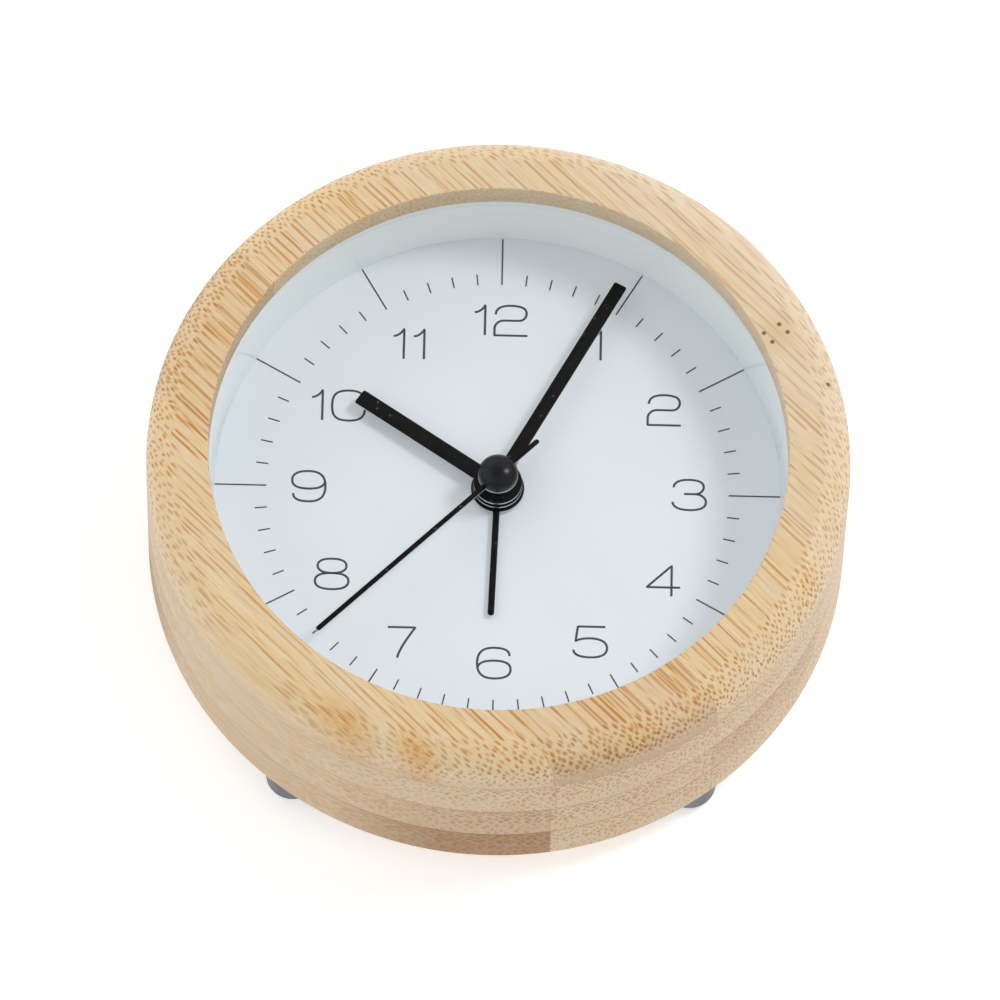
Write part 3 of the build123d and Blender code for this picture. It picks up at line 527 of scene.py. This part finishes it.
# Flow, grain and dust in mm
plasticLooks = {
    # Clean and shiny, with soft reflections
    "glossWhiteAbs": {"dark": "#ecf3f4", "light": "#f0f6f7", "flow": 30, "grain": 2.0,
                      "roughness": 0.22, "spread": 0.03, "bump": 0.02, "ior": 1.53},
    # Matte and even, a little cool
    "paintedDialCard": {"dark": "#e7eff5", "light": "#ebf1f7", "flow": 25, "grain": 0.25,
                        "roughness": 0.62, "spread": 0.05, "bump": 0.04, "ior": 1.5},
    # Flat charcoal print
    "dialInk": {"dark": "#3c3d42", "light": "#47484d", "flow": 3, "grain": 0.15,
                "roughness": 0.6, "spread": 0.08, "bump": 0.02, "ior": 1.5},
    # Deep black with hardly a sheen
    "blackLacquer": {"dark": "#060606", "light": "#0b0b0c", "flow": 6, "grain": 0.12, "dust": 0.9,
                     "roughness": 0.45, "spread": 0.08, "bump": 0.06, "ior": 1.5, "specular": 0.12},
    # Black with one soft highlight
    "glossBlackAbs": {"dark": "#07090d", "light": "#0c0f14", "flow": 4, "grain": 0.4,
                      "roughness": 0.25, "spread": 0.03, "bump": 0.02, "ior": 1.53, "specular": 0.25},
    # Dull and slightly uneven
    "greyRubber": {"dark": "#62666d", "light": "#767b82", "flow": 4, "grain": 0.2,
                   "roughness": 0.55, "spread": 0.1, "bump": 0.12, "ior": 1.52},
    # Matte, with the fine grain of an etched mould
    "blackMouldedAbs": {"dark": "#17181a", "light": "#1e1f21", "flow": 18, "grain": 0.3,
                        "roughness": 0.5, "spread": 0.08, "bump": 0.35, "ior": 1.53},
    # Off-white and half matte
    "whiteMouldedAbs": {"dark": "#dcdcd6", "light": "#e6e6e1", "flow": 15, "grain": 0.4,
                        "roughness": 0.45, "spread": 0.06, "bump": 0.1, "ior": 1.53},
    # Milky, with a waxy sheen
    "naturalAcetal": {"dark": "#e6e4da", "light": "#f0eee6", "flow": 5, "grain": 0.3,
                      "roughness": 0.36, "spread": 0.05, "bump": 0.06, "ior": 1.48},
    # Dark and grainy
    "sinteredFerrite": {"dark": "#2b2b2d", "light": "#3a3a3d", "flow": 1, "grain": 0.15,
                        "roughness": 0.6, "spread": 0.1, "bump": 0.3, "ior": 1.8},
    # A smooth green coat
    "greenSolderMask": {"dark": "#1d5a34", "light": "#23683d", "flow": 3, "grain": 0.5,
                        "roughness": 0.33, "spread": 0.05, "bump": 0.08, "ior": 1.53},
    # A tight, shiny dark blue sleeve
    "printedCellJacket": {"dark": "#1d2a3c", "light": "#22324a", "flow": 12, "grain": 0.8,
                          "roughness": 0.3, "spread": 0.05, "bump": 0.03, "ior": 1.5},
}
plastics = {name: mouldedPlastic(name, look) for name, look in plasticLooks.items()}


# Metals

metalSpread = 0.06    # how far the roughness of a metal varies


# Rolled, cut or wound metal: fine lines in one direction and an uneven shine
def rolledMetal(name, look):
    material, shader = newMaterial(name)
    coords = addNode(material, "TexCoord")["Object"]
    lineScale = 1 / (look["line"] * mm)
    stretched = addNode(material, "Mapping", {
        "Vector": coords, "Scale": (lineScale * look["stretch"], lineScale, lineScale)})["Vector"]
    lines = addNode(material, "TexNoise", {"Vector": stretched, "Scale": 1.0, "Detail": 3.0})["Fac"]
    blend = addNode(material, "MapRange", {"Value": lines, **noiseRange})["Result"]
    colour = addNode(material, "Mix", {
        0: blend, 6: hexColour(look["dark"]), 7: hexColour(look["light"])}, data_type="RGBA")[2]
    rough = addNode(material, "MapRange", {
        "Value": blend, "To Min": look["roughness"] - metalSpread,
        "To Max": look["roughness"] + metalSpread})["Result"]
    bump = addNode(material, "Bump", {
        "Height": lines, "Strength": look["bump"], "Distance": look["line"] * mm * reliefShare})["Normal"]
    setInputs(material, shader, {"Base Color": colour, "Roughness": rough, "Normal": bump, "Metallic": 1.0})
    return material


# Width of a line in mm; the stretch is below 1 for lines along X and above 1 for lines across it
metalLooks = {
    # Bright edges with fine cutting lines
    "cutAluminium": {"dark": "#c9ccd0", "light": "#e4e6e9", "line": 0.08, "stretch": 0.2,
                     "roughness": 0.28, "bump": 0.1},
    # Cool grey satin
    "zincPlatedSteel": {"dark": "#a3a7ab", "light": "#c3c7cb", "line": 0.2, "stretch": 0.3,
                        "roughness": 0.34, "bump": 0.1},
    # Close turns of lacquered wire
    "woundCopper": {"dark": "#9c4a25", "light": "#c8703c", "line": 0.12, "stretch": 8.0,
                    "roughness": 0.32, "bump": 0.5},
    # A smooth drawn can
    "nickelCan": {"dark": "#b4b3ab", "light": "#cfcec6", "line": 0.3, "stretch": 0.2,
                  "roughness": 0.25, "bump": 0.04},
    # Warm yellow with faint rolling lines
    "rolledBrass": {"dark": "#b8923f", "light": "#d3ae58", "line": 0.15, "stretch": 0.1,
                    "roughness": 0.3, "bump": 0.1},
}
metals = {name: rolledMetal(name, look) for name, look in metalLooks.items()}


# Lens

lensLook = {
    "alpha": 0.003,
    "tint": "#f4f7fb",
    "smear": 12.0,         # mm, size of the wiping marks
    "marks": {"From Min": 0.35, "From Max": 0.75, "To Min": 0.03, "To Max": 0.075},
}


# Flat float glass, drawn as a thin reflecting film: nearly unseen, with a faint clear reflection and
# a trace of wiping marks
def floatGlass():
    material, shader = newMaterial("floatGlass")
    coords = addNode(material, "TexCoord")["Object"]
    smear = addNode(material, "TexNoise", {
        "Vector": coords, "Scale": 1 / (lensLook["smear"] * mm), "Detail": 3.0})["Fac"]
    rough = addNode(material, "MapRange", {"Value": smear, **lensLook["marks"]})["Result"]
    setInputs(material, shader, {
        "Base Color": hexColour(lensLook["tint"]), "Metallic": 1.0, "Roughness": rough,
        "Alpha": lensLook["alpha"]})
    material.surface_render_method = "BLENDED"
    return material


# Gives CAD nodes their material
def paint(material, *names):
    for name in names:
        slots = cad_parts[name].data.materials
        for place in range(len(slots)):
            slots[place] = material


print("stage: materials")
makeCase()
print("stage: case")


# White ring between lens and dial, with a thin rim round the lens

ringSizes = {"front": 43.5, "back": 42.5, "backEdge": 0.15, "lensGap": 0.05, "steps": 160}    # mm


def makeRing():
    low, high = nodeBox("spacer_ring")
    lensLow, lensHigh = nodeBox("lens")
    rim = lensHigh.x + ringSizes["lensGap"]
    seat = lensLow.z - ringSizes["lensGap"]
    corners = [
        (ringSizes["back"], low.z, ringSizes["backEdge"]),
        (high.x, low.z, 0),
        (high.x, high.z, 0),
        (rim, high.z, 0),
        (rim, seat, 0),
        (ringSizes["front"], seat, 0),
    ]
    bm = bmesh.new()
    spinProfile(bm, corners, ringSizes["steps"], edgeSegments)
    finishPiece(bm, "whiteRing", "case", [plastics["glossWhiteAbs"]], ["spacer_ring"])


makeRing()
paint(plastics["paintedDialCard"], "dial")
paint(floatGlass(), "lens")


# Dial print

tickSizes = {
    "inner": 34.65,      # mm, radius where every tick starts
    "minuteEnd": 36.47,
    "hourEnd": 42.4,
    "minuteWidth": 0.20,
    "hourWidth": 0.22,
    "ink": 0.03,         # mm, drawn thicker than ink is, so that it is a closed mesh
    "sunk": 0.02,
}


def makeTicks():
    dialTop = nodeBox("dial")[1].z
    bm = bmesh.new()
    for minute in range(60):
        onHour = minute % 5 == 0
        width = tickSizes["hourWidth" if onHour else "minuteWidth"]
        end = tickSizes["hourEnd" if onHour else "minuteEnd"]
        tick = addBlock(bm, (-width / 2, tickSizes["inner"], dialTop - tickSizes["sunk"]),
                        (width / 2, end, dialTop + tickSizes["ink"]))
        bmesh.ops.rotate(bm, verts=tick, cent=(0, 0, 0),
                         matrix=Matrix.Rotation(-math.tau * minute / 60, 3, "Z"))
    finishPiece(bm, "dialTicks", "case", [plastics["dialInk"]])


makeTicks()

# Thin monoline figures, each a few strokes through (x, y, lean x, lean y) points in a unit box:
# the curve leaves a point along its lean, and a point with no lean is a corner
figureStrokes = {
    "0": [[(0.5, 1, 0.38, 0), (1, 0.5, 0, -0.36), (0.5, 0, -0.38, 0), (0, 0.5, 0, 0.36), "closed"]],
    "1": [[(0, 0.76, 0.2, 0.0), (0.32, 1, 0, 0), (0.32, 0, 0, 0)]],
    "2": [[(0.03, 0.70, 0, 0.16), (0.48, 1, 0.34, 0), (0.96, 0.75, 0, -0.16), (0.72, 0.5, -0.14, 0),
           (0.28, 0.5, -0.16, 0), (0, 0.24, 0, -0.12), (0, 0, 0, 0), (1, 0, 0, 0)]],
    "3": [[(0.03, 0.74, 0, 0.14), (0.48, 1, 0.32, 0), (0.93, 0.77, 0, -0.14), (0.68, 0.53, -0.12, 0),
           (0.34, 0.53, 0, 0)],
          [(0.68, 0.53, 0.16, 0), (1, 0.27, 0, -0.15), (0.5, 0, -0.38, 0), (0, 0.26, 0, 0.12)]],
    "4": [[(0.74, 0, 0, 0), (0.74, 1, 0, 0), (0, 0.29, 0, 0), (1, 0.29, 0, 0)]],
    "5": [[(0.94, 1, 0, 0), (0.12, 1, 0, 0), (0.06, 0.52, 0, 0), (0.5, 0.62, 0.34, 0), (1, 0.31, 0, -0.17),
           (0.5, 0, -0.38, 0), (0, 0.24, 0, 0.12)]],
    "6": [[(0.96, 0.74, 0, 0.14), (0.5, 1, -0.38, 0), (0, 0.5, 0, -0.3), (0.5, 0, 0.38, 0),
           (1, 0.3, 0, 0.17), (0.5, 0.58, -0.38, 0), (0.02, 0.34, 0, -0.1)]],
    "7": [[(0, 1, 0, 0), (0.82, 1, 0, 0), (0.3, 0, -0.03, -0.3)]],
    "8": [[(0.5, 1, 0.32, 0), (0.93, 0.77, 0, -0.13), (0.5, 0.53, -0.32, 0), (0.07, 0.77, 0, 0.13), "closed"],
          [(0.5, 0.53, 0.38, 0), (1, 0.27, 0, -0.15), (0.5, 0, -0.38, 0), (0, 0.27, 0, 0.15), "closed"]],
}
figureStrokes["9"] = [[(1 - x, 1 - y, -leanX, -leanY) for x, y, leanX, leanY in figureStrokes["6"][0]]]

figureSizes = {
    "circle": 28.6,      # mm, radius of the circle that the numbers stand on
    "width": 5.0,
    "height": 5.05,
    "stroke": 0.36,
    "narrow": {"1": 0.32, "7": 0.82},    # share of the width that these figures take
    "gap": 1.45,         # mm between the two figures of a number
    "ink": 0.03,
    "curveSteps": 10,
    "shifts": {          # mm right and up, how far a number is printed off its place
        2: (0.07, -0.2), 3: (0.15, 0), 4: (0.3, -0.1), 7: (0.45, -0.8), 8: (0.3, -0.2), 9: (0.3, 0),
        10: (0.6, -0.65), 11: (0.45, -0.5),
    },
}


def figureWidth(figure):
    return figureSizes["width"] * figureSizes["narrow"].get(figure, 1.0)


# Ink strokes of one number as round wires about its middle
def numberMesh(number):
    figures = str(number)
    total = sum(figureWidth(figure) for figure in figures) + figureSizes["gap"] * (len(figures) - 1)
    left = -total / 2
    scale = Vector((figureSizes["width"], figureSizes["height"], 0)) * mm
    curve = bpy.data.curves.new("figure", "CURVE")
    curve.dimensions = "3D"
    curve.resolution_u = figureSizes["curveSteps"]
    curve.bevel_depth = figureSizes["stroke"] / 2 * mm
    curve.bevel_resolution = 1
    curve.use_fill_caps = True
    for figure in figures:
        corner = Vector((left, -figureSizes["height"] / 2, 0)) * mm
        for stroke in figureStrokes[figure]:
            points = [point for point in stroke if point != "closed"]
            spline = curve.splines.new("BEZIER")
            spline.bezier_points.add(len(points) - 1)
            spline.use_cyclic_u = "closed" in stroke
            for knot, (x, y, leanX, leanY) in zip(spline.bezier_points, points):
                knot.handle_left_type = knot.handle_right_type = "FREE"
                knot.co = corner + scale * Vector((x, y, 0))
                knot.handle_left = corner + scale * Vector((x - leanX, y - leanY, 0))
                knot.handle_right = corner + scale * Vector((x + leanX, y + leanY, 0))
        left += figureWidth(figure) + figureSizes["gap"]
    holder = bpy.data.objects.new("figure", curve)
    mesh = bpy.data.meshes.new_from_object(holder)
    bpy.data.objects.remove(holder)
    bpy.data.curves.remove(curve)
    return mesh


# The wires are pressed flat as ink and set in a circle
def makeNumbers():
    dialTop = nodeBox("dial")[1].z
    flatten = figureSizes["ink"] / (figureSizes["stroke"] / 2)
    bm = bmesh.new()
    for number in range(1, 13):
        mesh = numberMesh(number)
        before = set(bm.verts)
        bm.from_mesh(mesh)
        bpy.data.meshes.remove(mesh)
        made = [vert for vert in bm.verts if vert not in before]
        angle = math.tau * number / 12
        right, up = figureSizes["shifts"].get(number, (0, 0))
        spot = Vector((math.sin(angle) * figureSizes["circle"] + right,
                       math.cos(angle) * figureSizes["circle"] + up, dialTop)) * mm
        bmesh.ops.scale(bm, vec=(1, 1, flatten), verts=made)
        bmesh.ops.translate(bm, vec=spot, verts=made)
    bmesh.ops.remove_doubles(bm, verts=bm.verts[:], dist=touch)
    bmesh.ops.recalc_face_normals(bm, faces=bm.faces[:])
    finishPiece(bm, "dialNumbers", "case", [plastics["dialInk"]])


makeNumbers()
print("stage: dial")


# Hands

# Angles in degrees from 12 o'clock, sizes in mm; tip is the rounding of a blade's corners, bore a radius
handLooks = {
    "alarm": {"angle": 181.7, "length": 21.2, "width": 1.0, "tip": 0.48, "hubRadius": 4.0, "bore": 2.48},
    "hour": {"angle": 304.2, "length": 25.5, "width": 2.55, "tip": 0.35, "hubRadius": 3.75, "bore": 1.82},
    "minute": {"angle": 28.1, "length": 38.1, "width": 2.1, "tip": 0.3, "hubRadius": 3.65, "bore": 1.16},
    "second": {"angle": 225.1, "length": 37.3, "width": 0.8, "tip": 0.38, "hubRadius": 3.0, "bore": 0.5,
               "tail": 8.4},
}
handShape = {
    "edge": 0.07,      # mm, rounding of the stamped edges
    "hubSteps": 96,
    "topTurn": 0.35,   # faces whose normal rises above this are lacquered, the others bare metal
}


# A stamped strip with a round hub
def makeHand(name, look):
    low, high = nodeBox(f"{name}_hand")
    half = look["width"] / 2
    hub, bore, edge = look["hubRadius"], look["bore"], handShape["edge"]
    root = (hub + bore) / 2
    blades = [(root, look["length"])]
    if "tail" in look:
        blades.append((-look["tail"], -root))
    bm = bmesh.new()
    for start, end in blades:
        addBlock(bm, (-half, start, low.z), (half, end, high.z), look["tip"], edge)
    spinProfile(bm, [(bore, low.z, 0), (hub, low.z, edge), (hub, high.z, edge), (bore, high.z, 0)],
                handShape["hubSteps"], edgeSegments)
    bmesh.ops.rotate(bm, verts=bm.verts[:], cent=(0, 0, 0),
                     matrix=Matrix.Rotation(math.radians(-look["angle"]), 3, "Z"))
    bm.normal_update()
    for face in bm.faces:
        face.material_index = 0 if face.normal.z > handShape["topTurn"] else 1
    finishPiece(bm, f"{name}HandStamped", f"{name}_hand",
                [plastics["blackLacquer"], metals["cutAluminium"]], [f"{name}_hand"])


for handName, handLook in handLooks.items():
    makeHand(handName, handLook)


capSizes = {"edge": 0.4, "bottomEdge": 0.1, "domeSteps": 14, "steps": 96}


# A domed cap: a short upright edge under half an ellipse
def makeCap():
    low, high = nodeBox("hand_cap")
    bm = bmesh.new()
    dome = high.z - low.z - capSizes["edge"]
    slopes = [math.pi / 2 * step / capSizes["domeSteps"] for step in range(capSizes["domeSteps"])]
    arc = [(high.x * math.cos(slope), high.z - dome * (1 - math.sin(slope)), 0) for slope in slopes]
    spinProfile(bm, [(0, low.z, 0), (high.x, low.z, capSizes["bottomEdge"]), *arc, (0, high.z, 0)],
                capSizes["steps"])
    finishPiece(bm, "domedCap", "second_hand", [plastics["glossBlackAbs"]], ["hand_cap"])


makeCap()
print("stage: hands")


# Feet

footSizes = {"radius": 4.0, "round": 2.2, "seat": 0.3, "steps": 64}


def makeFeet():
    low, high = nodeBox("rubber_feet")
    radius = footSizes["radius"]
    bm = bmesh.new()
    for right in (-1, 1):
        for up in (-1, 1):
            foot = spinProfile(bm, [(0, low.z, 0), (radius, low.z, footSizes["round"]),
                                    (radius, high.z, footSizes["seat"]), (0, high.z, 0)], footSizes["steps"])
            spot = Vector((right * (high.x - radius), up * (high.y - radius), 0)) * mm
            bmesh.ops.translate(bm, vec=spot, verts=foot)
    finishPiece(bm, "rubberFeet", "case", [plastics["greyRubber"]], ["rubber_feet"])


makeFeet()
print("stage: feet")


# Screws of the rear cover

screwSizes = {"head": 4.6, "headHeight": 1.0, "edge": 0.5, "flat": 1.75, "shank": 2.2, "point": 0.3,
              "crossLength": 2.7, "crossWidth": 0.75, "crossDepth": 0.6, "crossTaper": 0.72, "steps": 48}


# The walls and floor of a cross recess at the origin; gives back its points and its open rim
def addCross(bm, height):
    sizes = screwSizes
    cross = bmesh.ops.create_grid(bm, x_segments=3, y_segments=3, size=sizes["crossLength"] / 2 * mm,
                                  matrix=Matrix.Translation((0, 0, height * mm)))["verts"]
    for vert in cross:
        for axis in (0, 1):
            if abs(vert.co[axis]) < sizes["crossLength"] / 3 * mm:
                vert.co[axis] = math.copysign(sizes["crossWidth"] / 2 * mm, vert.co[axis])
    corners = [vert for vert in cross if len(vert.link_faces) == 1]
    bmesh.ops.delete(bm, geom=corners, context="VERTS")
    cross = [vert for vert in cross if vert.is_valid]
    floor = list({face for vert in cross for face in vert.link_faces})
    hole = bmesh.ops.extrude_face_region(bm, geom=floor)["geom"]
    bmesh.ops.delete(bm, geom=floor, context="FACES_ONLY")
    sunk = [item for item in hole if isinstance(item, bmesh.types.BMVert)]
    bmesh.ops.scale(bm, vec=(sizes["crossTaper"], sizes["crossTaper"], 1), verts=sunk)
    bmesh.ops.translate(bm, vec=(0, 0, sizes["crossDepth"] * mm), verts=sunk)
    crossEdges = {edge for vert in cross if vert.is_valid for edge in vert.link_edges}
    crossRim = [edge for edge in crossEdges if len(edge.link_faces) == 1]
    return sunk + [vert for vert in cross if vert.is_valid], crossRim


# Pan heads, whose flat is filled between its round rim and the cross recess
def makeScrews():
    low, high = nodeBox("cover_screws")
    sizes = screwSizes
    head, shank = sizes["head"] / 2, sizes["shank"] / 2
    seat = low.z + sizes["headHeight"]
    bm = bmesh.new()
    for side in (-1, 1):
        screw = spinProfile(bm, [
            (0, low.z, 0), (sizes["flat"], low.z, 0), (head, low.z, sizes["edge"]), (head, seat, 0),
            (shank, seat, 0), (shank, high.z, sizes["point"]), (0, high.z, 0)], sizes["steps"])
        middle = next(vert for vert in screw if vert.co.xy.length < touch and vert.co.z < seat * mm)
        rim = [edge for face in middle.link_faces for edge in face.edges if middle not in edge.verts]
        bmesh.ops.delete(bm, geom=[middle], context="VERTS")
        cross, crossRim = addCross(bm, low.z)
        bmesh.ops.triangle_fill(bm, use_beauty=True, use_dissolve=False, edges=rim + crossRim,
                                normal=(0, 0, -1))
        screw = cross + [vert for vert in screw if vert.is_valid]
        bmesh.ops.translate(bm, vec=(side * (high.x - head) * mm, 0, 0), verts=screw)
    bmesh.ops.recalc_face_normals(bm, faces=bm.faces[:])
    finishPiece(bm, "coverScrews", "case", [metals["zincPlatedSteel"]], ["cover_screws"])


makeScrews()


# Finishes of the back and of the movement

paint(plastics["blackMouldedAbs"], "rear_cover", "rear_case", "battery_door", "time_set_knob",
      "alarm_set_knob", "alarm_switch")
paint(plastics["whiteMouldedAbs"], "front_plate", "train_plate")
paint(plastics["naturalAcetal"], "intermediate_wheel", "seconds_wheel", "third_wheel", "centre_wheel",
      "minute_wheel", "hour_wheel", "alarm_wheel", "time_set_arbor", "alarm_set_arbor")
paint(plastics["sinteredFerrite"], "rotor")
paint(plastics["greenSolderMask"], "circuit_board")
paint(plastics["printedCellJacket"], "battery")
paint(metals["zincPlatedSteel"], "stator", "coil_core", "contact_positive", "contact_negative")
paint(metals["woundCopper"], "coil")
paint(metals["nickelCan"], "quartz_crystal")
paint(metals["rolledBrass"], "buzzer", "alarm_contact")
print("stage: back and movement")


# Floor, light and camera

studioLook = {
    "floor": "#f7f7f7",
    "floorGlow": 0.46,     # a lit sweep of paper, as under a product shot
    "floorRough": 0.9,
    "floorSize": 4.0,      # m
    "sky": 0.89,           # light from all round
    "skyFront": {"From Min": -1.0, "From Max": -0.5, "To Min": 0.36},    # less of it from 6 o'clock
    "skySides": {"From Min": -1.0, "From Max": 1.0, "To Min": 1.3, "To Max": 0.86},    # left to right
    "skyAbove": {"From Min": 0.7, "From Max": 0.95, "To Min": 1.0, "To Max": 0.45},
    "softbox": {"from": (0.74, 0.28, 1.0), "distance": 3.9, "size": 1.08, "power": 39.5},    # m and W
}


# White paper with a matte, even surface
def makeFloor():
    bm = bmesh.new()
    bmesh.ops.create_grid(bm, x_segments=1, y_segments=1, size=studioLook["floorSize"] / 2)
    mesh = bpy.data.meshes.new("studioFloor")
    bm.to_mesh(mesh)
    bm.free()
    material, shader = newMaterial("matteStudioPaper")
    setInputs(material, shader, {
        "Base Color": hexColour(studioLook["floor"]), "Roughness": studioLook["floorRough"],
        "Emission Color": hexColour(studioLook["floor"]), "Emission Strength": studioLook["floorGlow"]})
    mesh.materials.append(material)
    floor = bpy.data.objects.new("studioFloor", mesh)
    bpy.context.scene.collection.objects.link(floor)


# A soft room, darker in front and straight above, and one round softbox
def makeLight():
    world = bpy.data.worlds.new("softRoom")
    world.use_nodes = True
    ray = addNode(world, "SeparateXYZ", {"Vector": addNode(world, "TexCoord")["Generated"]})
    strength = addNode(world, "MapRange", {
        "Value": ray["Y"], **studioLook["skyFront"], "To Max": studioLook["sky"]})["Result"]
    for axis, share in (("X", "skySides"), ("Z", "skyAbove")):
        part = addNode(world, "MapRange", {"Value": ray[axis], **studioLook[share]})["Result"]
        strength = addNode(world, "Math", {0: strength, 1: part}, operation="MULTIPLY")[0]
    setInputs(world, world.node_tree.nodes["Background"], {"Color": (1, 1, 1, 1), "Strength": strength})
    bpy.context.scene.world = world
    softbox = studioLook["softbox"]
    lamp = bpy.data.lights.new("softbox", "AREA")
    lamp.shape = "DISK"
    lamp.size = softbox["size"]
    lamp.energy = softbox["power"]
    holder = bpy.data.objects.new("softbox", lamp)
    toward = Vector(softbox["from"]).normalized()
    holder.location = toward * softbox["distance"]
    holder.rotation_mode = "QUATERNION"
    holder.rotation_quaternion = toward.to_track_quat("Z", "Y")
    bpy.context.scene.collection.objects.link(holder)


cameraPlace = {
    "tilt": 26.09,     # degrees from straight above, towards 6 o'clock
    "turn": -0.23,
    "roll": 1.33,
    "offset": (0.00037, -0.001418, 1.71008),    # m, from the middle of the dial, in the camera's axes
    "lens": 410.8,     # mm
    "sensor": 36.0,    # mm
}


def makeCamera():
    camera = bpy.data.cameras.new("photoCamera")
    camera.lens = cameraPlace["lens"]
    camera.sensor_width = cameraPlace["sensor"]
    holder = bpy.data.objects.new("photoCamera", camera)
    tilt, turn, roll = (math.radians(cameraPlace[name]) for name in ("tilt", "turn", "roll"))
    aim = Matrix.Rotation(tilt, 3, "X") @ Matrix.Rotation(turn, 3, "Y") @ Matrix.Rotation(roll, 3, "Z")
    dialMiddle = Vector((0, 0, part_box("dial")[1].z))
    place = dialMiddle + aim @ Vector(cameraPlace["offset"])
    holder.matrix_world = Matrix.Translation(place) @ aim.to_4x4()
    bpy.context.scene.collection.objects.link(holder)
    bpy.context.scene.camera = holder


makeFloor()
makeLight()
makeCamera()
bpy.context.scene.view_settings.view_transform = "Standard"
print("stage: studio")
